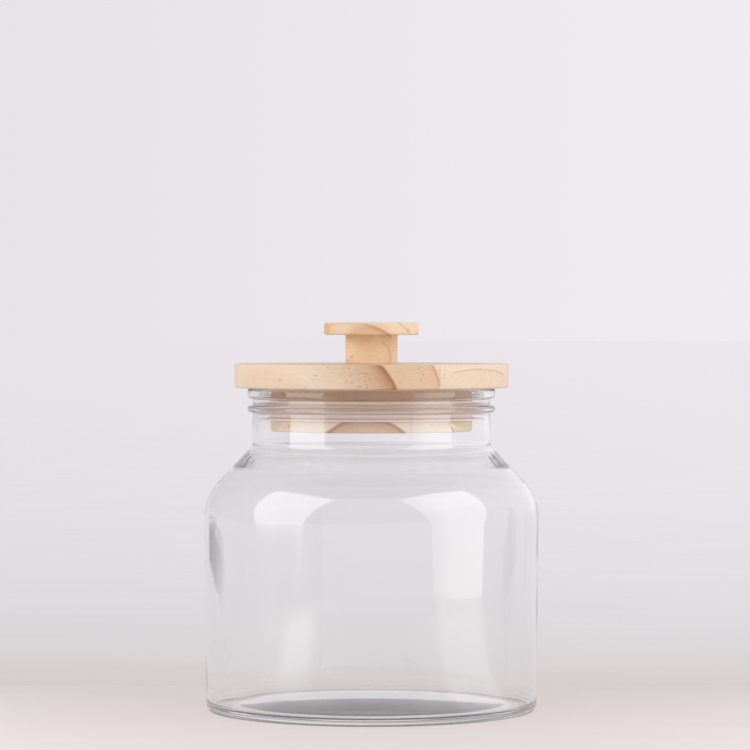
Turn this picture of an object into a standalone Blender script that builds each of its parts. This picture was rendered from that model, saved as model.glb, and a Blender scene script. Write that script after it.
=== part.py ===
# Glass storage jar with a wooden lid that lifts off.
# The glass is one turned body. The lid is a board of three glued staves, a plug with a silicone
# seal in its groove, and a turned knob held by a hidden screw.
# Metres, +Z up. The origin is the centre of the ring that the jar stands on, and the lid's pieces
# hang on an empty at the middle of the rim, on the line along which the lid lifts.

import math

import bmesh
import bpy
from mathutils import Vector

# Glass, outside
GLASS_HEIGHT = 0.1723
BODY_RADIUS = 0.0900
BASE_RADIUS = 0.0889
HEEL_ROUND = 0.0032
SHOULDER_ROUND = 0.0269
CONE_FROM_VERTICAL = math.radians(43)
NECK_RADIUS = 0.0640
NECK_HEIGHT = 0.0305
NECK_FOOT_ROUND = 0.0025

# Beads round the neck: the upper one is the rim
BEAD_OUT = 0.0027
BEAD_HEIGHT = 0.0040
BEAD_ROUND = 0.0018
BEAD_GAP = 0.0034
RIM_BEAD_HEIGHT = 0.0050
RIM_CREST_DROP = 0.0005
RIM_CREST_IN = 0.0010
RIM_ROUND = 0.0009
BEAD_ROOT_ROUND = 0.0004

# Glass, underside and inside
BEARING_WIDTH = 0.0044
BEARING_ROUND = 0.0010
PUSH_UP = 0.0047
PUSH_UP_RUN_IN = 0.0040
FLOOR_HEIGHT = 0.0028
FLOOR_CROWN = 0.0050
INNER_HEEL_ROUND = 0.0028
WALL = 0.0032
CONE_WALL = 0.0025
THICK_REACH = 0.0090
THICK_END_ROUND = 0.0300
INNER_FOOT_DROP = 0.0023
INNER_FOOT_ROUND = 0.0100
NECK_WALL = 0.0028

# Lid board of three staves
BOARD_RADIUS = 0.0736
BOARD_THICKNESS = 0.0129
BOARD_ROUND = 0.0012
MIDDLE_STAVE_WIDTH = 0.0650
GRAIN_FROM_X = math.radians(-35)

# Plug and its groove
PLUG_CLEARANCE = 0.0070
PLUG_DEPTH = 0.0230
PLUG_ROUND = 0.0012
GROOVE_DEPTH = 0.0032
GROOVE_BELOW_BOARD = 0.0062
GROOVE_HEIGHT = 0.0110

# Silicone seal
SEAL_BAND = 0.0034
SEAL_LIPS = 3
LIP_ROOT = 0.0020
LIP_TIP = 0.0010

# Knob
STEM_RADIUS = 0.01405
STEM_HEIGHT = 0.0153
STEM_ROUND = 0.0008
CAP_RADIUS = 0.0255
CAP_THICKNESS = 0.0067
CAP_ROUND = 0.0011

# Countersunk screw up through the board into the stem
SCREW_LENGTH = 0.0300
SCREW_RADIUS = 0.0020
SCREW_HEAD_RADIUS = 0.0040
SCREW_HEAD_EDGE = 0.0004
SCREW_HEAD_SUNK = 0.0005
SCREW_POINT = 0.0050
SCREW_TIP_RADIUS = 0.0004
RECESS_SPAN = 0.0042
RECESS_WIDTH = 0.0009
RECESS_DEPTH = 0.0016

# Clearances
SEAT_GAP = 0.0003
GLUE_LINE = 0.00015

# How finely round shapes are drawn
ROUND_SIDES = 60
KNOB_SIDES = 48
SCREW_SIDES = 24
ARC_SAG = 0.00012
LEAST_ARC_STEPS = 1
DOME_STEPS = 4
SMOOTH_ANGLE = math.radians(35)
MERGE_DISTANCE = 1e-7
CUTTER_OVERRUN = 0.0100

# Colours, with roughness and metallic
GLASS_COLOUR = (0.93, 0.95, 0.94, 1)
GLASS_ROUGHNESS = 0.03
GLASS_INDEX = 1.5
PALE_WOOD_COLOUR = (0.78, 0.56, 0.37, 1)
BROWN_WOOD_COLOUR = (0.66, 0.41, 0.23, 1)
KNOB_WOOD_COLOUR = (0.76, 0.49, 0.28, 1)
WOOD_ROUGHNESS = 0.55
SILICONE_COLOUR = (0.72, 0.66, 0.63, 1)
SILICONE_ROUGHNESS = 0.42
SILICONE_CLEARNESS = 0.5
STEEL_COLOUR = (0.62, 0.63, 0.64, 1)
STEEL_ROUGHNESS = 0.3


def clear_scene():
    for obj in list(bpy.data.objects):
        bpy.data.objects.remove(obj)


def material(name, colour, roughness, metallic=0, transmission=0, index=GLASS_INDEX):
    made = bpy.data.materials.new(name)
    made.use_nodes = True
    made.diffuse_color = colour
    shader = made.node_tree.nodes["Principled BSDF"]
    shader.inputs["Base Color"].default_value = colour
    shader.inputs["Roughness"].default_value = roughness
    shader.inputs["Metallic"].default_value = metallic
    shader.inputs["Transmission Weight"].default_value = transmission
    shader.inputs["IOR"].default_value = index
    return made


def rounded(corners):
    # Each corner is (radius out from the axis, height, fillet). A fillet becomes a short arc that
    # touches both sides of its corner, and the outline's two ends stay sharp.
    outline = []
    for i, (r, z, fillet) in enumerate(corners):
        here = Vector((r, z))
        if not fillet or i in (0, len(corners) - 1):
            outline.append(here)
            continue
        before = (Vector(corners[i - 1][:2]) - here).normalized()
        after = (Vector(corners[i + 1][:2]) - here).normalized()
        turn = math.pi - before.angle(after)
        reach = fillet * math.tan(turn / 2)
        start, end = here + before * reach, here + after * reach
        centre = here + (before + after).normalized() * (fillet / math.cos(turn / 2))
        step = 2 * math.acos(1 - min(ARC_SAG / fillet, 1))
        steps = max(LEAST_ARC_STEPS, math.ceil(turn / step))
        spoke = start - centre
        way = math.copysign(turn, spoke.cross(end - centre))
        for k in range(steps + 1):
            angle = way * k / steps
            swung = Vector((
                spoke.x * math.cos(angle) - spoke.y * math.sin(angle),
                spoke.x * math.sin(angle) + spoke.y * math.cos(angle),
            ))
            outline.append(centre + swung)
    return outline


def dome(centre_height, edge_radius, edge_height):
    # Points of a shallow dome from the axis out to its edge, which is left to the next corner.
    points = []
    for k in range(DOME_STEPS):
        out = k / DOME_STEPS
        points.append((edge_radius * out, centre_height + (edge_height - centre_height) * out**2, 0))
    return points


def link(name, mesh, look, parent=None):
    mesh.materials.append(look)
    mesh.shade_smooth()
    mesh.set_sharp_from_angle(angle=SMOOTH_ANGLE)
    obj = bpy.data.objects.new(name, mesh)
    bpy.context.scene.collection.objects.link(obj)
    obj.parent = parent
    return obj


def turned(name, outline, sides, closed=False):
    # Spins an outline in the XZ plane once round Z. A closed outline makes a ring.
    shape = bmesh.new()
    verts = [shape.verts.new((point.x, 0, point.y)) for point in outline]
    ends = verts[1:] + verts[:1] if closed else verts[1:]
    edges = [shape.edges.new(pair) for pair in zip(verts, ends)]
    bmesh.ops.spin(
        shape,
        geom=verts + edges,
        cent=(0, 0, 0),
        axis=(0, 0, 1),
        angle=math.tau,
        steps=sides,
        use_merge=True,
    )
    bmesh.ops.remove_doubles(shape, verts=shape.verts, dist=MERGE_DISTANCE)
    bmesh.ops.recalc_face_normals(shape, faces=shape.faces)
    mesh = bpy.data.meshes.new(name)
    shape.to_mesh(mesh)
    shape.free()
    return mesh


def block(name, low, high):
    shape = bmesh.new()
    bmesh.ops.create_cube(shape, size=1)
    low, high = Vector(low), Vector(high)
    for vert in shape.verts:
        vert.co = (low + high) / 2 + vert.co * (high - low)
    mesh = bpy.data.meshes.new(name)
    shape.to_mesh(mesh)
    shape.free()
    return mesh


def cutter(name, mesh, parent):
    obj = bpy.data.objects.new(name, mesh)
    bpy.context.scene.collection.objects.link(obj)
    obj.parent = parent
    obj.hide_render = True
    obj.display_type = "WIRE"
    return obj


def boolean(obj, other, operation):
    cut = obj.modifiers.new(operation.lower(), "BOOLEAN")
    cut.operation = operation
    cut.solver = "EXACT"
    cut.object = other


def cone_height(radius, inset):
    # How high the glass's cone has a radius, with the cone moved square to itself by inset.
    out = radius - NECK_RADIUS + inset / math.cos(CONE_FROM_VERTICAL)
    return GLASS_HEIGHT - NECK_HEIGHT - out / math.tan(CONE_FROM_VERTICAL)


def bore_radius():
    return NECK_RADIUS - NECK_WALL


def glass_jar(look):
    bearing_inner = BASE_RADIUS - HEEL_ROUND - BEARING_WIDTH
    bead_radius = NECK_RADIUS + BEAD_OUT
    rim_top = GLASS_HEIGHT - RIM_CREST_DROP
    rim_foot = rim_top - RIM_BEAD_HEIGHT
    bead_top = rim_foot - BEAD_GAP
    bead_foot = bead_top - BEAD_HEIGHT
    crest = bead_radius - RIM_CREST_IN
    outside = [
        *dome(PUSH_UP, bearing_inner - PUSH_UP_RUN_IN, BEARING_ROUND),
        (bearing_inner - BEARING_ROUND, BEARING_ROUND, 0),
        (bearing_inner, 0, BEARING_ROUND),
        (BASE_RADIUS, 0, HEEL_ROUND),
        (BODY_RADIUS, cone_height(BODY_RADIUS, 0), SHOULDER_ROUND),
        (NECK_RADIUS, cone_height(NECK_RADIUS, 0), NECK_FOOT_ROUND),
        (NECK_RADIUS, bead_foot, BEAD_ROOT_ROUND),
        (bead_radius, bead_foot, BEAD_ROUND),
        (bead_radius, bead_top, BEAD_ROUND),
        (NECK_RADIUS, bead_top, BEAD_ROOT_ROUND),
        (NECK_RADIUS, rim_foot, BEAD_ROOT_ROUND),
        (bead_radius, rim_foot, BEAD_ROUND),
        (bead_radius, rim_top, BEAD_ROUND),
        (crest, GLASS_HEIGHT, 0),
    ]
    inner_body = BODY_RADIUS - WALL
    inner_base = BASE_RADIUS - WALL
    floor_edge = inner_base - INNER_HEEL_ROUND
    # the wall is at its thickest just outside the foot of the neck, and thins down the cone
    thick_end = NECK_RADIUS + THICK_REACH
    inside = [
        (bore_radius(), GLASS_HEIGHT, RIM_ROUND),
        (bore_radius(), GLASS_HEIGHT - NECK_HEIGHT - INNER_FOOT_DROP, INNER_FOOT_ROUND),
        (thick_end, cone_height(thick_end, CONE_WALL), THICK_END_ROUND),
        (inner_body, cone_height(inner_body, WALL), SHOULDER_ROUND - WALL),
        (inner_base, FLOOR_HEIGHT, INNER_HEEL_ROUND),
        *reversed(dome(FLOOR_HEIGHT + FLOOR_CROWN, floor_edge, FLOOR_HEIGHT)),
    ]
    mesh = turned("glass_jar", rounded(outside + inside), ROUND_SIDES)
    return link("glass_jar", mesh, look)


def lid_staves(looks, parent, screw_hole):
    # The board is turned whole, and each stave is what lies between its glue planes.
    board = rounded([
        (0, SEAT_GAP, 0),
        (BOARD_RADIUS, SEAT_GAP, BOARD_ROUND),
        (BOARD_RADIUS, SEAT_GAP + BOARD_THICKNESS, BOARD_ROUND),
        (0, SEAT_GAP + BOARD_THICKNESS, 0),
    ])
    reach = BOARD_RADIUS + CUTTER_OVERRUN
    half = MIDDLE_STAVE_WIDTH / 2
    glue = GLUE_LINE / 2
    bands = {
        "lid_stave_front": (-reach, -half - glue),
        "lid_stave_middle": (-half + glue, half - glue),
        "lid_stave_back": (half + glue, reach),
    }
    for name, (low, high) in bands.items():
        stave = link(name, turned(name, board, ROUND_SIDES), looks[name], parent)
        keep = block(
            name + "_band",
            (-reach, low, -CUTTER_OVERRUN),
            (reach, high, BOARD_THICKNESS + CUTTER_OVERRUN),
        )
        band = cutter(name + "_band", keep, parent)
        band.rotation_euler.z = GRAIN_FROM_X
        boolean(stave, band, "INTERSECT")
        if low < 0 < high:
            boolean(stave, screw_hole, "DIFFERENCE")


def plug_radius():
    return bore_radius() - PLUG_CLEARANCE


def groove_radius():
    return plug_radius() - GROOVE_DEPTH


def lid_plug(look, parent):
    top = SEAT_GAP - GLUE_LINE
    groove_top = SEAT_GAP - GROOVE_BELOW_BOARD
    groove_bottom = groove_top - GROOVE_HEIGHT
    outline = rounded([
        (0, SEAT_GAP - PLUG_DEPTH, 0),
        (plug_radius(), SEAT_GAP - PLUG_DEPTH, PLUG_ROUND),
        (plug_radius(), groove_bottom, 0),
        (groove_radius(), groove_bottom, 0),
        (groove_radius(), groove_top, 0),
        (plug_radius(), groove_top, 0),
        (plug_radius(), top, 0),
        (0, top, 0),
    ])
    return link("lid_plug", turned("lid_plug", outline, ROUND_SIDES), look, parent)


def seal_ring(look, parent):
    # A band in the plug's groove, with lips that reach to the glass. Each lip is flat below and
    # thins towards its tip, and the lowest one lies flush with the band's foot.
    inner = groove_radius() + SEAT_GAP
    band = inner + SEAL_BAND
    tip = bore_radius() - SEAT_GAP
    bottom = SEAT_GAP - GROOVE_BELOW_BOARD - GROOVE_HEIGHT + SEAT_GAP
    top = -GROOVE_BELOW_BOARD
    pitch = (top - bottom) / SEAL_LIPS
    corners = [(inner, bottom, 0)]
    for k in range(SEAL_LIPS):
        foot = bottom + pitch * k
        if k:
            corners.append((band, foot, 0))
        corners += [
            (tip, foot, LIP_TIP / 3),
            (tip, foot + LIP_TIP, LIP_TIP / 3),
            (band, foot + LIP_ROOT, 0),
        ]
    corners += [(band, top, 0), (inner, top, 0)]
    outline = rounded(corners)
    return link("seal_ring", turned("seal_ring", outline, ROUND_SIDES, closed=True), look, parent)


def lid_knob(look, parent, screw_hole):
    foot = SEAT_GAP + BOARD_THICKNESS + GLUE_LINE
    cap_foot = foot + STEM_HEIGHT
    top = cap_foot + CAP_THICKNESS
    outline = rounded([
        (0, foot, 0),
        (STEM_RADIUS, foot, 0),
        (STEM_RADIUS, cap_foot, STEM_ROUND),
        (CAP_RADIUS, cap_foot, CAP_ROUND),
        (CAP_RADIUS, top, CAP_ROUND),
        (0, top, 0),
    ])
    knob = link("lid_knob", turned("lid_knob", outline, KNOB_SIDES), look, parent)
    boolean(knob, screw_hole, "DIFFERENCE")
    return knob


def screw_outline(clearance):
    # A countersunk head with 90 degree sides, a plain shank and a point. The clearance grows the
    # shape all round for the hole, and opens the head's side to below the board.
    face = SEAT_GAP + SCREW_HEAD_SUNK
    head = SCREW_HEAD_RADIUS + clearance
    shank = SCREW_RADIUS + clearance
    shank_end = face + SCREW_LENGTH - SCREW_POINT
    return rounded([
        (0, face - (CUTTER_OVERRUN if clearance else 0), 0),
        (head, face - (CUTTER_OVERRUN if clearance else 0), 0),
        (head, face + SCREW_HEAD_EDGE, 0),
        (shank, face + SCREW_HEAD_EDGE + head - shank, 0),
        (shank, shank_end, 0),
        (SCREW_TIP_RADIUS + clearance, face + SCREW_LENGTH + clearance, 0),
        (0, face + SCREW_LENGTH + clearance, 0),
    ])


def knob_screw(look, parent):
    screw = link("knob_screw", turned("knob_screw", screw_outline(0), SCREW_SIDES), look, parent)
    face = SEAT_GAP + SCREW_HEAD_SUNK
    for name, along, across in (
        ("recess_along", RECESS_SPAN, RECESS_WIDTH),
        ("recess_across", RECESS_WIDTH, RECESS_SPAN),
    ):
        slot = block(
            name,
            (-along / 2, -across / 2, face - CUTTER_OVERRUN),
            (along / 2, across / 2, face + RECESS_DEPTH),
        )
        boolean(screw, cutter(name, slot, parent), "DIFFERENCE")
    return screw


def main():
    clear_scene()
    pale = material("pale_wood", PALE_WOOD_COLOUR, WOOD_ROUGHNESS)
    brown = material("brown_wood", BROWN_WOOD_COLOUR, WOOD_ROUGHNESS)
    looks = {
        "lid_stave_front": brown,
        "lid_stave_middle": pale,
        "lid_stave_back": pale,
    }
    glass_jar(material("clear_glass", GLASS_COLOUR, GLASS_ROUGHNESS, transmission=1))
    lid = bpy.data.objects.new("lid_lift_axis", None)
    bpy.context.scene.collection.objects.link(lid)
    lid.location.z = GLASS_HEIGHT
    screw_hole = cutter("screw_hole", turned("screw_hole", screw_outline(SEAT_GAP), SCREW_SIDES), lid)
    lid_staves(looks, lid, screw_hole)
    lid_plug(material("plug_wood", PALE_WOOD_COLOUR, WOOD_ROUGHNESS), lid)
    seal_ring(
        material(
            "silicone", SILICONE_COLOUR, SILICONE_ROUGHNESS, transmission=SILICONE_CLEARNESS
        ),
        lid,
    )
    lid_knob(material("knob_wood", KNOB_WOOD_COLOUR, WOOD_ROUGHNESS), lid, screw_hole)
    knob_screw(material("steel", STEEL_COLOUR, STEEL_ROUGHNESS, metallic=1), lid)


main()
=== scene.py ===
import math

import bmesh
import bpy
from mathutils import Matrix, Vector


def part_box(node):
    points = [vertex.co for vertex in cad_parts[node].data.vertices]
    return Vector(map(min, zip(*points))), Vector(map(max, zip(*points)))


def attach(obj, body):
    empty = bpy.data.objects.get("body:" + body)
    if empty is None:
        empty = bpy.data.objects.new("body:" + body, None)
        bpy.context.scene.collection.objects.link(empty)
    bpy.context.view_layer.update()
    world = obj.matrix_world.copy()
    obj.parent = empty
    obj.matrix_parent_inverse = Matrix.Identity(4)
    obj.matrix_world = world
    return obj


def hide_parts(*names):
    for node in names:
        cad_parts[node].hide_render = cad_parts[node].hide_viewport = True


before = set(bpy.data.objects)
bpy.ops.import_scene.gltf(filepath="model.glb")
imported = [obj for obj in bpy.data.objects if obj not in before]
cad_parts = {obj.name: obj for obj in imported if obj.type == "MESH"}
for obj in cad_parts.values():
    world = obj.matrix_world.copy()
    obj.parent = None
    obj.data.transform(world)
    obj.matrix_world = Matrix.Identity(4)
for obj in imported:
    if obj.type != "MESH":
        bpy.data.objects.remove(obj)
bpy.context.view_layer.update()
mm = 0.001
perMetre = 1 / mm
print("frame loaded:", len(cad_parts), "nodes")


# Shader sums

class Value:
    # A number in a material. Sums on it add Math nodes.
    def __init__(self, tree, socket):
        self.tree = tree
        self.socket = socket

    def math(self, operation, *others, clamp=False):
        settings = {"operation": operation, "use_clamp": clamp}
        return addNode(self.tree, "ShaderNodeMath", settings, [self, *others])

    def __add__(self, other):
        return self.math("ADD", other)

    def __radd__(self, other):
        return self.math("ADD", other)

    def __mul__(self, other):
        return self.math("MULTIPLY", other)

    def __rmul__(self, other):
        return self.math("MULTIPLY", other)

    def __sub__(self, other):
        return self.math("SUBTRACT", other)

    def __rsub__(self, other):
        return addNode(self.tree, "ShaderNodeMath", {"operation": "SUBTRACT"}, [other, self])

    def __truediv__(self, other):
        return self.math("DIVIDE", other)

    def __pow__(self, other):
        return self.math("POWER", other)

    def clamped(self):
        return self.math("ADD", 0, clamp=True)

    def between(self, low, high):
        # 0 below low, 1 above high, smooth between them
        settings = {"interpolation_type": "SMOOTHSTEP"}
        return addNode(self.tree, "ShaderNodeMapRange", settings, [self, low, high, 0, 1])


def addNode(tree, kind, settings, inputs, output=0):
    node = tree.nodes.new(kind)
    for name, value in settings.items():
        if name == "stops":
            setStops(node.color_ramp, value)
        else:
            setattr(node, name, value)
    named = inputs.items() if isinstance(inputs, dict) else enumerate(inputs)
    for key, value in named:
        if isinstance(value, Value):
            tree.links.new(value.socket, node.inputs[key])
        else:
            node.inputs[key].default_value = value
    return Value(tree, node.outputs[output]) if node.outputs else None


def setStops(ramp, stops):
    while len(ramp.elements) > 1:
        ramp.elements.remove(ramp.elements[-1])
    for i, (share, colour) in enumerate(stops):
        stop = ramp.elements[0] if i == 0 else ramp.elements.new(share)
        stop.position = share
        stop.color = colour


def plateau(value, begins, full, ends, over):
    # 1 between full and ends, fading to 0 on both sides
    return value.between(begins, full) * (1 - value.between(ends, over))


def softBand(value, begins, ends, edge):
    return plateau(value, begins - edge, begins + edge, ends - edge, ends + edge)


def length(first, second):
    return (first * first + second * second) ** 0.5


def tone(red, green, blue):
    # A colour as read off a screen, 0 to 255, made linear
    return tuple(
        part / 12.92 if part <= 0.04045 else ((part + 0.055) / 1.055) ** 2.4
        for part in (red / 255, green / 255, blue / 255)
    ) + (1.0,)


def newMaterial(name):
    look = bpy.data.materials.new(name)
    look.use_nodes = True
    look.node_tree.nodes.clear()
    return look, look.node_tree


def place(tree):
    return addNode(tree, "ShaderNodeTexCoord", {}, {}, "Object")


def ray(tree, name):
    return addNode(tree, "ShaderNodeLightPath", {}, {}, name)


def turned(tree, times):
    # 1 for light that the glass has mirrored more often than this
    return ray(tree, "Glossy Depth").math("GREATER_THAN", times)


def noise(tree, where, scale, detail=2, roughness=0.5):
    inputs = {"Vector": where, "Scale": scale, "Detail": detail, "Roughness": roughness}
    return addNode(tree, "ShaderNodeTexNoise", {"noise_dimensions": "3D"}, inputs, "Fac")


def parts(tree, point):
    split = addNode(tree, "ShaderNodeSeparateXYZ", {}, [point])
    return [Value(tree, socket) for socket in split.socket.node.outputs]


def vector(tree, x, y, z):
    return addNode(tree, "ShaderNodeCombineXYZ", {}, [x, y, z])


def stretched(tree, spot, scales):
    # A place for a pattern that has its own scale in each direction
    return vector(tree, *(value * scale for value, scale in zip(spot, scales)))


def mixColour(tree, amount, first, second, blend="MIX"):
    settings = {"data_type": "RGBA", "blend_type": blend, "clamp_factor": True}
    return addNode(tree, "ShaderNodeMix", settings, {0: amount, 6: first, 7: second}, 2)


def scaled(tree, colour, amount):
    return addNode(tree, "ShaderNodeVectorMath", {"operation": "SCALE"}, {0: colour, "Scale": amount})


def bump(tree, height, strength, distance):
    inputs = {"Strength": strength, "Distance": distance, "Height": height}
    return addNode(tree, "ShaderNodeBump", {}, inputs)


def emission(tree, colour, strength=1.0):
    return addNode(tree, "ShaderNodeEmission", {}, {"Color": colour, "Strength": strength})


def mixShader(tree, amount, first, second):
    return addNode(tree, "ShaderNodeMixShader", {}, [amount, first, second])


def litThrough(tree, solid, tint):
    # Lets lamps and matt surfaces light what is behind a clear piece
    clear = addNode(tree, "ShaderNodeBsdfTransparent", {}, {"Color": tint})
    for name in ("Is Diffuse Ray", "Is Shadow Ray"):
        solid = mixShader(tree, ray(tree, name), solid, clear)
    return solid


def surface(tree, shader, owner="Material"):
    addNode(tree, "ShaderNodeOutput" + owner, {}, {"Surface": shader})


# Modelling helpers

samePoint = 1e-7        # metres; closer points of an outline are one
mergeGap = 1e-6         # closer vertices are merged, and a point this near a plane lies in it
arcError = 0.004 * mm   # how far the facets of a fillet lie off the true arc
leastFacets = 3


def nothingSelected():
    if bpy.context.mode != "OBJECT":
        bpy.ops.object.mode_set(mode="OBJECT")
    bpy.ops.object.select_all(action="DESELECT")


def pick(piece, kind, test):
    # Selects the vertices that pass a test, or the edges whose ends both do
    bpy.ops.mesh.select_mode(type=kind)
    bpy.ops.mesh.select_all(action="DESELECT")
    shape = bmesh.from_edit_mesh(piece.data)
    if kind == "VERT":
        for vert in shape.verts:
            vert.select_set(test(vert.co))
    else:
        for edge in shape.edges:
            edge.select_set(all(test(vert.co) for vert in edge.verts))
    bmesh.update_edit_mesh(piece.data)


def finishPiece(piece, look, body, nodes, smoothAngle=35):
    # Everything that every finished piece gets
    nothingSelected()
    piece.select_set(True)
    bpy.context.view_layer.objects.active = piece
    bpy.ops.object.shade_smooth_by_angle(angle=math.radians(smoothAngle))
    piece.data.materials.clear()
    piece.data.materials.append(look)
    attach(piece, body)
    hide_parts(*nodes)
    piece.select_set(False)


def tracedOutline(name, corners, closed=False):
    # Draws a turned piece's outline in the XZ plane. Straight runs are extruded and fillets are spun.
    # A corner is (distance from the axis, height, fillet).
    nothingSelected()
    bpy.ops.mesh.primitive_plane_add(size=mm)
    piece = bpy.context.object
    piece.name = name
    piece.data.name = name
    bpy.ops.object.mode_set(mode="EDIT")
    bpy.ops.mesh.select_mode(type="VERT")
    bpy.ops.mesh.merge(type="CENTER")
    spots = [Vector((radius, 0, height)) for radius, height, fillet in corners]
    pen = spots[0]
    bpy.ops.transform.translate(value=pen)
    count = len(corners)
    for i in range(1, count):
        here = spots[i]
        fillet = corners[i][2]
        if not fillet or (i == count - 1 and not closed):
            bpy.ops.mesh.extrude_region_move(TRANSFORM_OT_translate={"value": here - pen})
            pen = here
            continue
        before = (spots[i - 1] - here).normalized()
        after = (spots[(i + 1) % count] - here).normalized()
        turn = math.pi - before.angle(after)
        start = here + before * fillet * math.tan(turn / 2)
        end = here + after * fillet * math.tan(turn / 2)
        centre = here + (before + after).normalized() * (fillet / math.cos(turn / 2))
        if (start - pen).length > samePoint:
            bpy.ops.mesh.extrude_region_move(TRANSFORM_OT_translate={"value": start - pen})
        way = -math.copysign(turn, (start - centre).cross(end - centre).y)
        steps = max(leastFacets, math.ceil(turn / arcStep(fillet)))
        bpy.ops.mesh.spin(steps=steps, angle=way, center=centre, axis=(0, 1, 0))
        pen = end
    if closed:
        bpy.ops.mesh.extrude_region_move(TRANSFORM_OT_translate={"value": spots[0] - pen})
        bpy.ops.mesh.select_all(action="SELECT")
        bpy.ops.mesh.remove_doubles(threshold=samePoint)
    return piece


def arcStep(fillet):
    # The angle of one facet of a fillet
    return 2 * math.acos(1 - min(arcError / fillet, 1))


def spunRound(piece, sides):
    bpy.ops.mesh.select_all(action="SELECT")
    bpy.ops.mesh.spin(steps=sides, angle=math.tau, center=(0, 0, 0), axis=(0, 0, 1))
    bpy.ops.mesh.select_all(action="SELECT")
    bpy.ops.mesh.remove_doubles(threshold=mergeGap)
    bpy.ops.mesh.normals_make_consistent(inside=False)
    return piece


# Camera, at the photograph's angle

view = {
    "distance": 1.821,
    "height": 0.2036,
    "pitchDown": 0.762,     # degrees
    "turnedRight": 0.059,   # degrees
    "lens": 162.5,
    "clip": (0.05, 200),
}


def addCamera():
    tilt = math.radians(90 - view["pitchDown"])
    turn = math.radians(-view["turnedRight"])
    spot = (0, -view["distance"], view["height"])
    bpy.ops.object.camera_add(location=spot, rotation=(tilt, 0, turn))
    camera = bpy.context.object
    camera.name = "camera"
    camera.data.lens = view["lens"]
    camera.data.clip_start, camera.data.clip_end = view["clip"]
    bpy.context.scene.camera = camera


nothingSelected()
addCamera()
print("camera placed")


# Stage: a pale floor whose far part is as bright as the wall in the photograph, a world that goes on
# from it, two soft boxes, and a dark card that only the glass shows

stage = {
    "floorSize": 120,
    "floorTone": tone(233, 224, 224),
    "shade": 0.985,              # mean brightness of the floor, which its streaks and mottle vary
    "streaks": 0.05,
    "streakScale": (3, 40),
    "mottle": 0.03,
    "mottleScale": 9,
    "wallFrom": 0.115,           # where the table ends and the wall begins
    "wallEdge": 0.002,
    "wallNearest": 1.55,         # up to this distance from the camera the wall has one colour
    "wallLean": 0.18,            # how much brighter the wall gets to the right
    "litRadius": (0.45, 0.75),   # the lit floor fades into the plain pale one
    "underJar": (0.3, 0.92),     # how dark the contact shadow is, seen straight and mirrored in the glass
    "underReach": (0.045, 0.086),
    "contact": (0.0805, 0.083, 0.0865, 0.0880),   # painted shadow, a dark line where the bearing ring stands
    "contactShadowDark": 0.75,
    "lampTone": (1.0, 0.985, 0.97, 1),
}

# Wall colours by how far back they lie, as 1 / metres from the camera
wallStops = [
    (0.00, tone(235, 231, 236)),
    (0.25, tone(232, 227, 231)),
    (0.39, tone(226, 221, 224)),
    (0.464, tone(220, 215, 217)),
    (0.515, tone(215, 207, 208)),
    (0.53, tone(219, 210, 210)),
    (0.58, tone(229, 220, 221)),
]

# Soft boxes. Each is a sheet whose lit and fading parts are given in shares of its width and height.
# The sheen that it leaves on the table is given in metres.
bothBoxes = {
    "footOut": 0.70,
    "lean": 33,
    "strength": 2.02,
    "through": 0.36,                # how strong it is through the glass
    "ends": (0, 0.05, 0.94, 1),
    "faintAt": (0.1, 0.4),          # its strength grows from faint to full over this part of its width
}
softBoxes = {
    "softBoxRight": {
        **bothBoxes,
        "azimuth": 60,
        "across": (-0.27, 0.226),
        "up": (0.0, 0.707),
        "soft": (-0.02, 0.015, 0.94, 1),
        "mirrored": 1.93,
        "faint": 0.65,
        "shineOut": (0.06, 0.18, 0.80, 0.85),
        "shineAcross": (-0.27, -0.17, 0.15, 0.25),
        "shineStrength": 2.2,
    },
    "softBoxLeft": {
        **bothBoxes,
        "azimuth": -64,
        "across": (-0.205, 0.245),
        "up": (0.0, 0.672),
        "soft": (-0.2, -0.1, 0.94, 1),
        "wholeFrom": 0.077,         # metres up the sheet; below it only one side is lit, and less
        "wholeEdge": 0.03,
        "lowSide": (0.7, 0.95),
        "lowFrom": -0.3,
        "low": 0.45,
        "mirrored": 1.77,
        "faint": 1.0,
        "shineOut": (0.12, 0.32, 0.45, 0.68),
        "shineAcross": (0.02, 0.18, 0.28, 0.46),
        "shineStrength": 2.9,
    },
}

# What darkens the left side of the glass in the photograph, as a leaf shape. Its right side leans away
# to the left below one height, and its left side below another.
flag = {
    "back": 0.40,
    "across": (-0.72, -0.28),
    "up": (-0.02, 0.10),
    "top": (0.062, 0.074),
    "rightSide": {"at": -0.30, "below": 0.045, "lean": 6.5, "soft": 0.03},
    "leftSide": {"at": -0.46, "below": 0.060, "lean": 7.0, "soft": 0.05, "last": -0.70},
    "wave": 0.012,
    "waveScale": 14,
    "fade": (0.0, 0.045, 0.45),   # foot, full height, and how dark the foot is
    "tones": ((-0.46, tone(18, 16, 18)), (-0.35, tone(140, 134, 136))),
}

# The world. It lights the object evenly, and camera and glass see the wall's colour in it.
room = {
    "light": 0.70,
    "lightTone": (0.98, 0.985, 1.0, 1),
    "front": 0.42,               # how bright the glass shows the room in front of the jar
    "frontFrom": (-0.25, 0.6),
    "ceiling": 0.30,
    "ceilingFrom": (0.55, 0.98),
    "caughtFrom": (0.0, 0.86),   # where the ceiling begins for light that has turned in the glass
    "lean": 0.40,                # how much brighter it gets to the right, up to the brightest
    "brightest": 1.14,
}


def seenRay(tree):
    rays = [ray(tree, name) for name in ("Is Camera Ray", "Is Glossy Ray", "Is Transmission Ray")]
    return (rays[0] + rays[1] + rays[2]).clamped()


def mirroredOnly(tree):
    return ray(tree, "Is Glossy Ray") * (1 - ray(tree, "Is Transmission Ray"))


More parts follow.
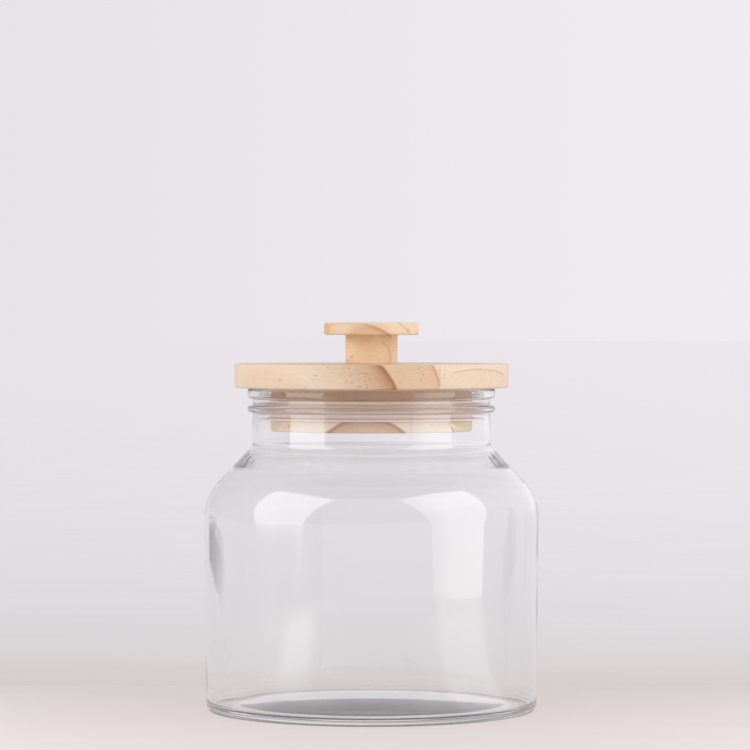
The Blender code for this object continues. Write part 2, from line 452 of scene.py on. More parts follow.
def shineOfBox(tree, shader, box, x, y):
    # The table's sheen under a soft box, which only the outside of the glass mirrors
    azimuth = math.radians(box["azimuth"])
    out = x * math.sin(azimuth) - y * math.cos(azimuth)
    side = x * math.cos(azimuth) + y * math.sin(azimuth)
    swing = side / out * box["footOut"]
    patch = plateau(out, *box["shineOut"]) * plateau(swing, *box["shineAcross"])
    sheen = emission(tree, stage["lampTone"], box["shineStrength"])
    return mixShader(tree, patch * mirroredOnly(tree), shader, sheen)


def addFloor():
    nothingSelected()
    bpy.ops.mesh.primitive_plane_add(size=stage["floorSize"])
    floor = bpy.context.object
    floor.name = "floor"
    look, tree = newMaterial("floorLook")
    where = place(tree)
    x, y, z = parts(tree, where)
    acrossScale, backScale = stage["streakScale"]
    streaks = noise(tree, vector(tree, x * acrossScale, y * backScale, 0), 1, 3)
    mottle = noise(tree, where, stage["mottleScale"], 3)
    shade = stage["shade"] + (streaks - 0.5) * stage["streaks"] + (mottle - 0.5) * stage["mottle"]
    back = (y + view["distance"]).math("MAXIMUM", stage["wallNearest"]) ** -1
    wall = addNode(tree, "ShaderNodeValToRGB", {"stops": wallStops}, [back], "Color")
    wall = scaled(tree, wall, (x * back * stage["wallLean"] + 1) * shade)
    radius = length(x, y)
    # Painted shadow in the floor's colour: darker under the jar, more so where the glass mirrors it, and in
    # a line along the bearing ring
    straight, mirrored = stage["underJar"]
    dark = turned(tree, 0) * (mirrored - straight) + straight
    lit = shade * (1 - (1 - radius.between(*stage["underReach"])) * dark)
    lit = lit * (1 - plateau(radius, *stage["contact"]) * stage["contactShadowDark"])
    colour = mixColour(tree, 1, stage["floorTone"], vector(tree, lit, lit, lit), "MULTIPLY")
    matt = addNode(tree, "ShaderNodeBsdfDiffuse", {}, {"Color": colour})
    beyond = y.between(stage["wallFrom"] - stage["wallEdge"], stage["wallFrom"] + stage["wallEdge"])
    plain = beyond.math("MAXIMUM", radius.between(*stage["litRadius"]))
    shader = mixShader(tree, plain * seenRay(tree), matt, emission(tree, wall))
    for box in softBoxes.values():
        shader = shineOfBox(tree, shader, box, x, y)
    surface(tree, shader)
    floor.data.materials.append(look)


def addWorld():
    world = bpy.data.worlds.new("studio")
    bpy.context.scene.world = world
    world.use_nodes = True
    tree = world.node_tree
    tree.nodes.clear()
    x, y, z = parts(tree, addNode(tree, "ShaderNodeTexCoord", {}, {}, "Generated"))
    inGlass = ray(tree, "Is Glossy Ray").math("MAXIMUM", ray(tree, "Is Transmission Ray"))
    front = (0 - y).between(*room["frontFrom"])
    dim = 1 - inGlass * front * (1 - room["front"])
    caught = turned(tree, 0) * ray(tree, "Is Transmission Ray")
    above = z.between(*room["ceilingFrom"]) * (1 - caught) + z.between(*room["caughtFrom"]) * caught
    dim = dim * (1 - above * (1 - room["ceiling"]))
    lean = (x * room["lean"] + 1).math("MINIMUM", room["brightest"])
    seen = scaled(tree, wallStops[0][1][:3], dim * lean)
    shown = addNode(tree, "ShaderNodeBackground", {}, {"Color": seen, "Strength": 1.0})
    light = addNode(tree, "ShaderNodeBackground", {}, {
        "Color": room["lightTone"], "Strength": room["light"]})
    surface(tree, mixShader(tree, seenRay(tree), light, shown), "World")


def addFlag():
    # A dark card behind the jar, left of the picture: only the glass shows it
    nothingSelected()
    f = flag
    bpy.ops.mesh.primitive_plane_add(size=1)
    card = bpy.context.object
    card.name = "flag"
    for vert in card.data.vertices:
        vert.co = (f["across"][vert.co.x > 0], f["back"], f["up"][vert.co.y > 0])
    look, tree = newMaterial("flagLook")
    where = place(tree)
    x, y, z = parts(tree, where)
    wave = (noise(tree, where, f["waveScale"], 2) - 0.5) * f["wave"]
    right, left = f["rightSide"], f["leftSide"]
    rightEnd = right["at"] - (right["below"] - z + wave).math("MAXIMUM", 0) * right["lean"]
    leftEnd = left["at"] - (left["below"] - z + wave).math("MAXIMUM", 0) * left["lean"]
    leftEnd = leftEnd.math("MAXIMUM", left["last"])
    amount = (1 - (x - rightEnd).between(-right["soft"], 0)) * (x - leftEnd).between(-left["soft"], 0)
    foot, full, least = f["fade"]
    amount = amount * (1 - z.between(*f["top"])) * (z.between(foot, full) * (1 - least) + least)
    (farAt, farTone), (nearAt, nearTone) = f["tones"]
    dark = emission(tree, mixColour(tree, x.between(farAt, nearAt), farTone, nearTone))
    clear = addNode(tree, "ShaderNodeBsdfTransparent", {}, {})
    surface(tree, mixShader(tree, amount, clear, dark))
    card.data.materials.append(look)
    card.visible_camera = False
    card.visible_diffuse = False
    card.visible_shadow = False


def addSoftBox(name, box):
    # A sheet that leans over the jar, lit on its inner side. Its sharp picture in the glass is
    # stronger than its light, and what shines through the glass is weaker.
    nothingSelected()
    azimuth = math.radians(box["azimuth"])
    lean = math.radians(box["lean"])
    out = Vector((math.sin(azimuth), -math.cos(azimuth), 0))
    across = Vector((math.cos(azimuth), math.sin(azimuth), 0))
    up = Vector((0, 0, math.cos(lean))) - out * math.sin(lean)
    bpy.ops.mesh.primitive_plane_add(size=1)
    sheet = bpy.context.object
    sheet.name = name
    for vert in sheet.data.vertices:
        side = box["across"][vert.co.x > 0]
        rise = box["up"][vert.co.y > 0]
        vert.co = out * box["footOut"] + across * side + up * rise
    look, tree = newMaterial(name + "Look")
    u, v, w = parts(tree, addNode(tree, "ShaderNodeTexCoord", {}, {}, "UV"))
    amount = plateau(u, *box["ends"]) * plateau(v, *box["soft"])
    if "wholeFrom" in box:
        whole = box["wholeFrom"] / box["up"][1]
        upper = v.between(whole - box["wholeEdge"], whole + box["wholeEdge"])
        lower = u.between(*box["lowSide"]) * v.between(box["lowFrom"] * whole, whole) * box["low"]
        amount = amount * (upper + (1 - upper) * lower)
    bright = u.between(*box["faintAt"]) * (1 - box["faint"]) + box["faint"]
    through = ray(tree, "Is Transmission Ray") * (box["through"] - 1)
    level = 1 + mirroredOnly(tree) * (box["mirrored"] - 1) + through
    lit = emission(tree, stage["lampTone"], bright * level * box["strength"])
    inner = addNode(tree, "ShaderNodeNewGeometry", {}, {}, "Backfacing")
    clear = addNode(tree, "ShaderNodeBsdfTransparent", {}, {})
    surface(tree, mixShader(tree, inner * amount, clear, lit))
    sheet.data.materials.append(look)
    sheet.visible_camera = False


addFloor()
addWorld()
addFlag()
for boxName, box in softBoxes.items():
    addSoftBox(boxName, box)
cycles = bpy.context.scene.cycles
cycles.caustics_reflective = False
cycles.caustics_refractive = False
cycles.max_bounces = 64
cycles.transmission_bounces = 24
cycles.glossy_bounces = 20
cycles.transparent_max_bounces = 32
bpy.context.scene.view_settings.view_transform = "Standard"
print("stage lit")


# Glass

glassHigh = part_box("glass_jar")[1]
glass = {
    "sides": 384,
    "smoothAngle": 60,
    "height": glassHigh.z,
    "bodyRadius": 89.999 * mm,
    "baseRadius": 88.9 * mm,
    "heelRound": 3.2 * mm,
    "shoulderRound": 26.9 * mm,
    "coneFromVertical": math.radians(43),
    "neckRadius": 64.0 * mm,
    "neckHeight": 30.5 * mm,
    "neckFootRound": 2.5 * mm,
    "innerFootDrop": 2.3 * mm,
    "innerFootRound": 10.0 * mm,
    "thickReach": 9.0 * mm,
    "thickEndRound": 30.0 * mm,
    "coneWall": 2.5 * mm,
    "beadOut": 2.7 * mm,
    "beadHeight": 4.0 * mm,
    "beadRound": 1.8 * mm,
    "beadGap": 3.4 * mm,
    "rimBeadHeight": 5.0 * mm,
    "rimDrop": 0.5 * mm,
    "rimIn": 1.0 * mm,
    "rimRound": 0.9 * mm,
    "beadRootRound": 0.4 * mm,
    "bearingWidth": 4.4 * mm,
    "bearingRound": 1.0 * mm,
    "bearingRows": 6,
    "pushUp": 4.7 * mm,
    "pushUpRunIn": 4.0 * mm,
    "domeRows": 12,
    "floorHeight": 2.8 * mm,
    "floorCrown": 5.0 * mm,
    "innerHeelRound": 2.8 * mm,
    "wall": 3.2 * mm,
    "neckWall": 2.8 * mm,
    "ridgeHeight": 0.35 * mm,
    "ridgeShift": 0.3 * mm,        # from this far past the face's inner edge to this far past its outer one
    "ridgeFoot": 0.05 * mm,        # only points below this height are pushed up
    "rippleSize": 40 * mm,
    "rippleDepth": 0.12 * mm,
    "rippleRows": 26,
    "rippleShares": (0.12, 0.83),  # start and length of the rows, in shares of the inner wall's height
    "rippleAbove": 6 * mm,         # from this height above the floor up to the next value
    "rippleTop": 112 * mm,
    "wrinkled": (130 * mm, 144 * mm),
    "wrinkleFade": 4 * mm,
    "wrinkleScale": (10, 60),      # round the neck and upwards
    "wrinkleDepth": 0.13 * mm,
    "seamFrom": (56 * mm, 64 * mm),
    # after this many turns, light caught in the glass meets a matt grey tone: painted shade
    "turns": 8,
    "caughtShadeTone": tone(164, 161, 165),
    "tint": (0.985, 0.99, 0.99, 1),
    "lightTint": (0.965, 0.97, 0.97, 1),
    "index": 1.5,
}


def coneHeight(radius, inset):
    out = radius - glass["neckRadius"] + inset / math.cos(glass["coneFromVertical"])
    return glass["height"] - glass["neckHeight"] - out / math.tan(glass["coneFromVertical"])


def dome(centreHeight, edgeRadius, edgeHeight):
    rise = edgeHeight - centreHeight
    steps = glass["domeRows"]
    return [(edgeRadius * k / steps, centreHeight + rise * (k / steps) ** 2, 0) for k in range(steps)]


def glassCorners():
    g = glass
    bearingInner = g["baseRadius"] - g["heelRound"] - g["bearingWidth"]
    bead = g["neckRadius"] + g["beadOut"]
    rimTop = g["height"] - g["rimDrop"]
    rimFoot = rimTop - g["rimBeadHeight"]
    beadTop = rimFoot - g["beadGap"]
    beadFoot = beadTop - g["beadHeight"]
    bore = g["neckRadius"] - g["neckWall"]
    rows = g["bearingRows"]
    outside = [
        *dome(g["pushUp"], bearingInner - g["pushUpRunIn"], g["bearingRound"]),
        (bearingInner - g["bearingRound"], g["bearingRound"], 0),
        (bearingInner, 0, g["bearingRound"]),
        *((bearingInner + g["bearingWidth"] * k / rows, 0, 0) for k in range(1, rows)),
        (g["baseRadius"], 0, g["heelRound"]),
        (g["bodyRadius"], coneHeight(g["bodyRadius"], 0), g["shoulderRound"]),
        (g["neckRadius"], coneHeight(g["neckRadius"], 0), g["neckFootRound"]),
        (g["neckRadius"], beadFoot, g["beadRootRound"]),
        (bead, beadFoot, g["beadRound"]),
        (bead, beadTop, g["beadRound"]),
        (g["neckRadius"], beadTop, g["beadRootRound"]),
        (g["neckRadius"], rimFoot, g["beadRootRound"]),
        (bead, rimFoot, g["beadRound"]),
        (bead, rimTop, g["beadRound"]),
        (bead - g["rimIn"], g["height"], 0),
    ]
    innerBody = g["bodyRadius"] - g["wall"]
    innerBase = g["baseRadius"] - g["wall"]
    floorEdge = innerBase - g["innerHeelRound"]
    thickEnd = g["neckRadius"] + g["thickReach"]
    shoulder = coneHeight(innerBody, g["wall"])
    start, reach = g["rippleShares"]
    shares = [start + reach * k / g["rippleRows"] for k in range(g["rippleRows"] + 1)]
    innerWall = [
        (innerBody + (innerBase - innerBody) * t, shoulder + (g["floorHeight"] - shoulder) * t, 0)
        for t in shares
    ]
    inside = [
        (bore, g["height"], g["rimRound"]),
        (bore, g["height"] - g["neckHeight"] - g["innerFootDrop"], g["innerFootRound"]),
        (thickEnd, coneHeight(thickEnd, g["coneWall"]), g["thickEndRound"]),
        (innerBody, shoulder, g["shoulderRound"] - g["wall"]),
        *innerWall,
        (innerBase, g["floorHeight"], g["innerHeelRound"]),
        *reversed(dome(g["floorHeight"] + g["floorCrown"], floorEdge, g["floorHeight"])),
    ]
    return outside + inside


def glassLook():
    # The glass is wrinkled where the mould's seams cross the neck's foot. Light that has turned in the
    # glass more often than a set number of times meets a matt grey, which the lamps still light: painted
    # shade in the base and at the neck's foot.
    g = glass
    look, tree = newMaterial("clearGlass")
    x, y, z = parts(tree, place(tree))
    low, high = g["wrinkled"]
    around, upward = g["wrinkleScale"]
    wrinkle = noise(tree, vector(tree, y.math("ARCTAN2", x) * around, z * upward, 0), 1, 2)
    wrinkle = wrinkle * plateau(z, low, low + g["wrinkleFade"], high - g["wrinkleFade"], high)
    wrinkle = wrinkle * x.math("ABSOLUTE").between(*g["seamFrom"])
    solid = addNode(tree, "ShaderNodeBsdfPrincipled", {}, {
        "Base Color": g["tint"],
        "Roughness": 0.0,
        "IOR": g["index"],
        "Transmission Weight": 1.0,
        "Normal": bump(tree, wrinkle, 1.0, g["wrinkleDepth"]),
    })
    # Painted shade: light that has turned too often in the glass meets a matt grey
    caughtShade = addNode(tree, "ShaderNodeBsdfDiffuse", {}, {"Color": g["caughtShadeTone"]})
    solid = mixShader(tree, turned(tree, g["turns"]), solid, caughtShade)
    surface(tree, litThrough(tree, solid, g["lightTint"]))
    return look


def rippleInside(piece):
    # Blown glass: the inner wall waves a little, the outer one took the mould's smooth shape
    g = glass
    inner = g["baseRadius"] - g["wall"] / 2
    low = g["floorHeight"] + g["rippleAbove"]

    def onInnerWall(point):
        return math.hypot(point.x, point.y) < inner and low < point.z < g["rippleTop"]

    pick(piece, "VERT", onInnerWall)
    bpy.ops.object.vertex_group_add()
    bpy.ops.object.vertex_group_assign()
    bpy.ops.object.mode_set(mode="OBJECT")
    waves = bpy.data.textures.new("waves", "CLOUDS")
    waves.noise_scale = g["rippleSize"]
    waves.noise_depth = 1
    ripple = piece.modifiers.new("ripple", "DISPLACE")
    ripple.texture = waves
    ripple.texture_coords = "LOCAL"
    ripple.strength = 2 * g["rippleDepth"]
    ripple.vertex_group = piece.vertex_groups[0].name
    bpy.ops.object.modifier_apply(modifier="ripple")
    bpy.ops.object.vertex_group_remove(all=True)


def makeGlass():
    g = glass
    piece = spunRound(tracedOutline("jarGlass", glassCorners()), g["sides"])
    # Stippled ring: every other spoke of the bearing face is pushed up a little
    ringOuter = g["baseRadius"] - g["heelRound"] + g["ridgeShift"]
    ringInner = g["baseRadius"] - g["heelRound"] - g["bearingWidth"] + g["ridgeShift"]
    spoke = math.tau / g["sides"]

    def onRidge(point):
        onRing = ringInner < math.hypot(point.x, point.y) < ringOuter
        index = round(math.atan2(point.y, point.x) / spoke)
        return point.z < g["ridgeFoot"] and onRing and index % 2 == 0

    pick(piece, "VERT", onRidge)
    bpy.ops.transform.translate(value=(0, 0, g["ridgeHeight"]))
    rippleInside(piece)
    finishPiece(piece, glassLook(), "jar", ["glass_jar"], g["smoothAngle"])


makeGlass()
print("glass turned")


# Wood. Growth rings stand round a pith line that lies along the grain, and each wood lists its tones by
# distance from the pith. A place in the wood is in millimetres along the grain, across it and upwards.

allWoods = {
    "grain": -35,                       # degrees from the X axis
    "flare": 0.22,                      # how much the rings widen along the grain, before the next value
    "flareFrom": 46,
    "wander": 1.2,
    "wanderScale": (0.02, 0.08, 0.08),
    "arcs": [],                         # single rings that show more, each in one stretch across
    "arcEdge": 2,
    "patches": [],                      # (across, height, radius, tone, strength)
    "patchFrom": (-20, 0),
    "streaks": 0.26,
    "streakScale": (0.045, 0.9, 0.9),
    "fineRings": 0.09,
    "fineScale": (0.013, 1.3),
    "pores": 0.05,
    "poreZones": [],                    # (from, to, how many more) along the grain
    "zoneEdge": 3,
    "poreDark": 0.6,
    "poreTone": (124, 74, 34),
    "roughness": (0.5, 0.2, 0.2),       # mean, and what streaks and pores add
    "relief": (0.5, 0.3),               # how high streaks stand and how deep pores lie
    "reliefDepth": 0.25 * mm,
    "reliefStrength": 0.35,
    "index": 1.45,
}
boardWood = {
    **allWoods,
    "rimShadow": (65, 66.5, 70, 72),    # where the board's underside meets the rim, from the axis
    "undersideTo": (172.62, 172.7),
    "rimDark": 0.6,
    "rimTone": (70, 50, 36),
}
poreShape = {
    "stretch": (0.15, 0.7, 1.6),
    "scale": 0.9,
    "edge": (0.16, 0.32),
    "clusterStretch": (0.05, 0.12, 0.05),
    "clusterFrom": (0.42, 0.66),
    "everywhere": 0.02,
    "soft": 0.04,
}


def pores(tree, spot, density):
    # Short dark vessel lines in clusters: small spots in the end grain, dashes in the long grain
    p = poreShape
    inputs = {"Vector": stretched(tree, spot, p["stretch"]), "Scale": p["scale"]}
    distance = addNode(tree, "ShaderNodeTexVoronoi", {}, inputs, "Distance")
    chance = parts(tree, Value(tree, distance.socket.node.outputs["Color"]))[0]
    cluster = noise(tree, stretched(tree, spot, p["clusterStretch"]), 1, 1).between(*p["clusterFrom"])
    share = cluster * density * 2 + p["everywhere"]
    return (1 - distance.between(*p["edge"])) * (1 - chance.between(share - p["soft"], share))


def woodLook(name, wood):
    look, tree = newMaterial(name)
    x, y, z = parts(tree, place(tree))
    turn = math.radians(wood["grain"])
    along = perMetre * (x * math.cos(turn) + y * math.sin(turn))
    across = perMetre * (y * math.cos(turn) - x * math.sin(turn))
    height = perMetre * z
    spot = (along, across, height)
    wander = (noise(tree, stretched(tree, spot, wood["wanderScale"]), 1, 2) - 0.5) * wood["wander"]
    pithAcross, pithHeight = wood["pith"]
    flare = (along - wood["flareFrom"]).math("MINIMUM", 0) * wood["flare"]
    ring = length(across - pithAcross, height - pithHeight) + flare + wander
    last = wood["rings"][-1][0]
    stops = [(radius / last, tone(*seen)) for radius, seen in wood["rings"]]
    colour = addNode(tree, "ShaderNodeValToRGB", {"stops": stops}, [ring / last], "Color")
    for arc in wood["arcs"]:
        arcAcross, arcHeight = arc["centre"]
        distance = length(across - arcAcross, height - arcHeight) + wander
        onArc = plateau(distance, *arc["band"]) * softBand(across, *arc["across"], wood["arcEdge"])
        colour = mixColour(tree, onArc * arc["strength"], colour, tone(*arc["seen"]))
    for patchAcross, patchHeight, radius, seen, strength in wood["patches"]:
        distance = length(across - patchAcross, height - patchHeight)
        inside = (1 - distance.between(radius / 2, radius)) * along.between(*wood["patchFrom"])
        colour = mixColour(tree, inside * strength, colour, tone(*seen))
    streak = noise(tree, stretched(tree, spot, wood["streakScale"]), 1, 4, 0.6) - 0.5
    fineAlong, fineAcross = wood["fineScale"]
    fine = noise(tree, vector(tree, along * fineAlong, ring * fineAcross, 0), 1, 3, 0.6) - 0.5
    density = wood["pores"]
    for begins, ends, more in wood["poreZones"]:
        density = softBand(along, begins, ends, wood["zoneEdge"]) * more + density
    pore = pores(tree, spot, density)
    if "rimShadow" in wood:
        underside = 1 - height.between(*wood["undersideTo"])
        shadow = plateau(length(x, y) * perMetre, *wood["rimShadow"]) * underside
        colour = mixColour(tree, shadow * wood["rimDark"], colour, tone(*wood["rimTone"]))
    # Painted shade: darker towards the top, where the lid overhangs the piece
    if "shadedTop" in wood:
        low, high, seen, strength = wood["shadedTop"]
        colour = mixColour(tree, height.between(low, high) * strength, colour, tone(*seen))
    colour = scaled(tree, colour, 1 + streak * wood["streaks"] + fine * wood["fineRings"])
    colour = mixColour(tree, pore * wood["poreDark"], colour, tone(*wood["poreTone"]))
    rough, roughStreaks, roughPores = wood["roughness"]
    high, deep = wood["relief"]
    relief = streak * high - pore * deep
    surface(tree, addNode(tree, "ShaderNodeBsdfPrincipled", {}, {
        "Base Color": colour,
        "Roughness": rough + streak * roughStreaks + pore * roughPores,
        "IOR": wood["index"],
        "Normal": bump(tree, relief, wood["reliefStrength"], wood["reliefDepth"]),
    }))
    return look


woods = {
    "frontStave": {
        **boardWood,
        "pith": (-146, 139.2),
        "poreZones": [(31, 42, 0.7), (57, 65, 0.5)],
        "rings": [
            (0, (230, 203, 173)),
            (70.8, (230, 204, 175)),
            (74.6, (233, 212, 190)),
            (78.6, (232, 209, 182)),
            (82.6, (229, 205, 178)),
            (88.6, (223, 193, 163)),
            (94.6, (214, 176, 142)),
            (98.2, (196, 147, 111)),
            (99.7, (168, 112, 74)),
            (100.1, (180, 128, 90)),
            (100.6, (226, 195, 164)),
            (108.6, (225, 193, 161)),
            (114.6, (225, 190, 160)),
            (118.0, (220, 180, 153)),
            (118.7, (204, 156, 130)),
            (119.4, (200, 150, 124)),
            (119.8, (230, 200, 172)),
            (121.6, (236, 213, 188)),
            (142.6, (235, 212, 188)),
        ],
    },
    "middleStave": {
        **boardWood,
        "flare": 0.0,
        "pith": (-3, 58),
        "streaks": 0.4,
        "rings": [
            (0, (231, 208, 184)),
            (112, (231, 208, 184)),
            (124, (230, 207, 182)),
            (126, (233, 213, 190)),
            (160, (232, 208, 183)),
        ],
        "arcs": [
            {"centre": (-5, 58), "band": (124.2, 124.9, 125.0, 125.4), "across": (-25, 22),
             "strength": 0.6, "seen": (196, 156, 122)},
        ],
    },
    "backStave": {
        **boardWood,
        "flare": 0.06,
        "pith": (70, 150),
        "rings": [
            (0, (206, 168, 134)),
            (18, (214, 178, 146)),
            (26, (196, 152, 114)),
            (27, (236, 208, 180)),
            (44, (228, 196, 166)),
            (58, (212, 172, 138)),
            (59, (238, 212, 186)),
            (90, (232, 204, 176)),
        ],
    },
    "plug": {
        **allWoods,
        "grain": -90, "flare": 0.0, "wander": 1.0,
        # painted shade on the plug's upper land, under the lid's overhang
        "shadedTop": (165.6, 167.2, (186, 146, 110), 0.85),
        "pith": (-3, 127.6),
        "rings": [
            (0, (232, 204, 174)),
            (23, (228, 202, 174)),
            (28, (220, 186, 154)),
            (29.8, (188, 142, 106)),
            (30.4, (224, 192, 160)),
            (30.9, (248, 234, 220)),
            (40, (250, 236, 222)),
            (50.4, (246, 226, 206)),
            (52, (236, 214, 182)),
            (70, (234, 210, 174)),
        ],
        "arcs": [
            {"centre": (-3, 127.6), "band": (50.2, 50.8, 51.1, 51.6), "across": (40, 60),
             "strength": 0.75, "seen": (196, 156, 118)},
        ],
    },
    "knob": {
        **allWoods,
        "grain": -90, "flare": 0.0, "wander": 0.8,
        "pith": (-2.3, 192.8),
        "rings": [
            (0, (242, 212, 177)),
            (8, (240, 210, 175)),
            (12, (234, 202, 168)),
            (16, (239, 213, 184)),
            (40, (242, 217, 189)),
        ],
        "arcs": [
            {"centre": (-12.6, 165.9), "band": (35.5, 41, 41.4, 42.4), "across": (-5, 10.5),
             "strength": 0.28, "seen": (204, 160, 114)},
            {"centre": (-12.6, 165.9), "band": (39.6, 41.2, 41.7, 42.5), "across": (-3, 10.5),
             "strength": 0.6, "seen": (188, 138, 92)},
            {"centre": (-12.6, 165.9), "band": (40.2, 41.2, 41.5, 42.0), "across": (-26, -6),
             "strength": 0.45, "seen": (214, 172, 130)},
            {"centre": (-2.3, 192.8), "band": (9.6, 11.8, 12.1, 12.7), "across": (-9.5, 5),
             "strength": 0.4, "seen": (214, 164, 128)},
            {"centre": (1.3, 189.2), "band": (7.4, 9.0, 9.2, 9.8), "across": (5, 16),
             "strength": 0.45, "seen": (208, 156, 112)},
            {"centre": (2, 188), "band": (22.2, 22.9, 23.1, 23.7), "across": (12, 30),
             "strength": 0.5, "seen": (206, 168, 126)},
        ],
        "patches": [
            (-27, 204.2, 7, (228, 184, 134), 0.75),
            # partly the wood's tone, partly painted shade under the cap's overhang
            (-5, 202, 8, (224, 190, 153), 0.5),
            # lighter left side of the stem: partly the wood's tone, partly a painted highlight
            (-14, 193, 7, (252, 226, 190), 0.9),
            (-10.5, 189.4, 0.9, (196, 148, 96), 0.6),
            (19.5, 203.3, 1.3, (206, 162, 118), 0.4),
        ],
    },
}


# Lid board

board = {
    "sides": 192,
    "radius": 73.6 * mm,
    "low": glassHigh.z + 0.3 * mm,
    "thickness": 12.9 * mm,
    "round": 1.2 * mm,
    "grain": math.radians(allWoods["grain"]),
    "middleWidth": 65.0 * mm,
    "glueLine": 0.05 * mm,
    "glueEdge": 0.12 * mm,
}
screw = {
    "gap": 0.3 * mm,
    "head": 4.0 * mm,
    "headEdge": 0.4 * mm,
    "headSunk": 0.5 * mm,
    "shank": 2.0 * mm,
    "length": 30.0 * mm,
}


def makeStave(name, low, high, node):
    # The board is turned whole, with the screw's countersunk hole, and cut at the glue planes
    b = board
    top = b["low"] + b["thickness"]
    headHole = screw["head"] + screw["gap"]
    hole = screw["shank"] + screw["gap"]
    coneFoot = b["low"] + screw["headSunk"] + screw["headEdge"]
    corners = [
        (headHole, coneFoot, 0),
        (headHole, b["low"], 0),
        (b["radius"], b["low"], b["round"]),
        (b["radius"], top, b["round"]),
        (hole, top, 0),
        (hole, coneFoot + headHole - hole, 0),
    ]
    piece = spunRound(tracedOutline(name, corners, closed=True), b["sides"])
    square = Vector((-math.sin(b["grain"]), math.cos(b["grain"]), 0))
    for cut, keepsAbove in ((low, True), (high, False)):
        if cut is None:
            continue
        bpy.ops.mesh.select_all(action="SELECT")
        bpy.ops.mesh.bisect(plane_co=square * cut, plane_no=square, use_fill=True,
                            clear_inner=keepsAbove, clear_outer=not keepsAbove)
        pick(piece, "EDGE", lambda point: abs(point.dot(square) - cut) < mergeGap)
        bpy.ops.mesh.bevel(offset=b["glueEdge"], segments=1, affect="EDGES")
    bpy.ops.object.mode_set(mode="OBJECT")
    finishPiece(piece, woodLook(name + "Wood", woods[name]), "lid", [node])


def makeBoard():
    half = board["middleWidth"] / 2
    glue = board["glueLine"] / 2
    makeStave("frontStave", None, -half - glue, "lid_stave_front")
    makeStave("middleStave", -half + glue, half - glue, "lid_stave_middle")
    makeStave("backStave", half + glue, None, "lid_stave_back")


makeBoard()
print("board glued")


# Plug and seal

plug = {
    "sides": 192,
    "radius": glass["neckRadius"] - glass["neckWall"] - 7.0 * mm,
    "depth": 23.0 * mm,
    "round": 1.2 * mm,
    "grooveDepth": 3.2 * mm,
    "grooveDown": 6.2 * mm,
    "grooveHeight": 11.0 * mm,
    "edgeRound": 0.25 * mm,
    "glueLine": 0.03 * mm,
}
seal = {
    "sides": 192,
    "gap": 0.3 * mm,
    "band": 3.4 * mm,
    "lips": 3,
    "lipRoot": 2.0 * mm,
    "lipTip": 1.0 * mm,
    "tint": (0.97, 0.89, 0.86, 1),
    "cloudTint": (0.9312, 0.8544, 0.8256, 1),
    "lightTint": (0.90, 0.85, 0.82, 1),
    "cloudScale": 60,
    "roughness": (0.26, 0.1),    # least, and what the clouds add
    "clear": 0.35,
    "index": 1.41,
    "skinScale": 900,
    "skinDepth": 0.2 * mm,
    "skinStrength": 0.15,
}


def makePlug():
    p = plug
    low = board["low"] - p["depth"]
    grooveTop = board["low"] - p["grooveDown"]
    grooveLow = grooveTop - p["grooveHeight"]
    groove = p["radius"] - p["grooveDepth"]
    top = board["low"] - p["glueLine"]
    corners = [
        (0, low, 0),
        (p["radius"], low, p["round"]),
        (p["radius"], grooveLow, p["edgeRound"]),
        (groove, grooveLow, 0),
        (groove, grooveTop, 0),
        (p["radius"], grooveTop, p["edgeRound"]),
        (p["radius"], top, 0),
        (0, top, 0),
    ]
    piece = spunRound(tracedOutline("plugWood", corners), p["sides"])
    bpy.ops.object.mode_set(mode="OBJECT")
    finishPiece(piece, woodLook("plugWood", woods["plug"]), "lid", ["lid_plug"])


def siliconeLook():
    s = seal
    look, tree = newMaterial("silicone")
    where = place(tree)
    cloud = noise(tree, where, s["cloudScale"], 3)
    skin = noise(tree, where, s["skinScale"], 2)
    least, more = s["roughness"]
    solid = addNode(tree, "ShaderNodeBsdfPrincipled", {}, {
        "Base Color": mixColour(tree, cloud, s["tint"], s["cloudTint"]),
        "Roughness": cloud * more + least,
        "IOR": s["index"],
        "Transmission Weight": s["clear"],
        "Normal": bump(tree, skin, s["skinStrength"], s["skinDepth"]),
    })
    surface(tree, litThrough(tree, solid, s["lightTint"]))
    return look


def makeSeal():
    # A band in the groove with lips that reach to the glass, flat below and thinner at the tip
    s = seal
    inner = plug["radius"] - plug["grooveDepth"] + s["gap"]
    band = inner + s["band"]
    tip = glass["neckRadius"] - glass["neckWall"] - s["gap"]
    top = board["low"] - plug["grooveDown"] - s["gap"]
    low = board["low"] - plug["grooveDown"] - plug["grooveHeight"] + s["gap"]
    pitch = (top - low) / s["lips"]
    tipRound = s["lipTip"] / 3
    corners = [(inner, low, 0)]
    for k in range(s["lips"]):
        foot = low + pitch * k
        if k:
            corners.append((band, foot, 0))
        corners += [
            (tip, foot, tipRound),
            (tip, foot + s["lipTip"], tipRound),
            (band, foot + s["lipRoot"], 0),
        ]
    corners += [(band, top, 0), (inner, top, 0)]
    piece = spunRound(tracedOutline("sealSilicone", corners, closed=True), s["sides"])
    bpy.ops.object.mode_set(mode="OBJECT")
    finishPiece(piece, siliconeLook(), "lid", ["seal_ring"])


makePlug()
makeSeal()
print("plug and seal turned")


# Knob

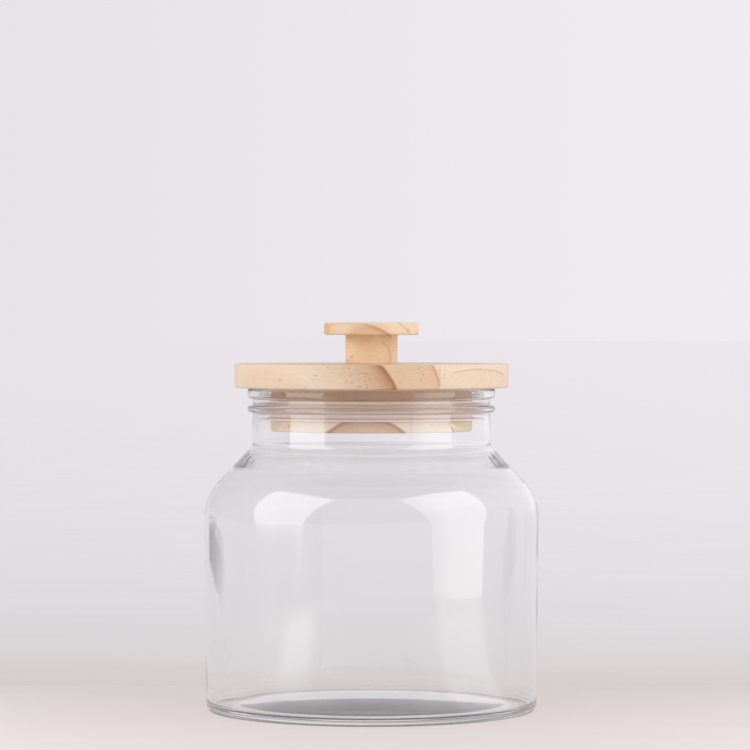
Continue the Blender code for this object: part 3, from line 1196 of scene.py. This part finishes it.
knob = {
    "sides": 128,
    "stemRadius": 14.05 * mm,
    "stemHeight": 15.3 * mm,
    "stemRound": 0.8 * mm,
    "capRadius": 25.5 * mm,
    "capThickness": 6.7 * mm,
    "capRound": 1.1 * mm,
    "glueLine": 0.15 * mm,
    "drillPoint": 2.0 * mm,
}


def makeKnob():
    k = knob
    foot = board["low"] + board["thickness"] + k["glueLine"]
    capFoot = foot + k["stemHeight"]
    top = capFoot + k["capThickness"]
    hole = screw["shank"] + screw["gap"]
    holeEnd = board["low"] + screw["headSunk"] + screw["length"] + screw["gap"]
    corners = [
        (0, holeEnd, 0),
        (hole, holeEnd - k["drillPoint"], 0),
        (hole, foot, 0),
        (k["stemRadius"], foot, 0),
        (k["stemRadius"], capFoot, k["stemRound"]),
        (k["capRadius"], capFoot, k["capRound"]),
        (k["capRadius"], top, k["capRound"]),
        (0, top, 0),
    ]
    piece = spunRound(tracedOutline("knobWood", corners), k["sides"])
    bpy.ops.object.mode_set(mode="OBJECT")
    finishPiece(piece, woodLook("knobWood", woods["knob"]), "lid", ["lid_knob"])


makeKnob()
print("knob turned")


# Screw: the CAD node keeps its own shape and gets a zinc plated look

steel = {
    "tones": (tone(188, 190, 194), tone(214, 214, 216)),
    "spangleScale": 900,
    "drawnScale": (2500, 2500, 90),
    "roughness": (0.26, 0.16, 0.08),   # least, and what drawing lines and spangle add
    "reliefDepth": 0.1 * mm,
    "reliefStrength": 0.2,
}


def steelLook():
    look, tree = newMaterial("zincSteel")
    where = place(tree)
    spangle = noise(tree, where, steel["spangleScale"], 3)
    drawn = noise(tree, stretched(tree, parts(tree, where), steel["drawnScale"]), 1, 2)
    least, byLines, bySpangle = steel["roughness"]
    surface(tree, addNode(tree, "ShaderNodeBsdfPrincipled", {}, {
        "Base Color": mixColour(tree, spangle, *steel["tones"]),
        "Metallic": 1.0,
        "Roughness": least + drawn * byLines + spangle * bySpangle,
        "Normal": bump(tree, drawn, steel["reliefStrength"], steel["reliefDepth"]),
    }))
    return look


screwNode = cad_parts["knob_screw"]
screwNode.material_slots[0].material = steelLook()
print("screw plated")
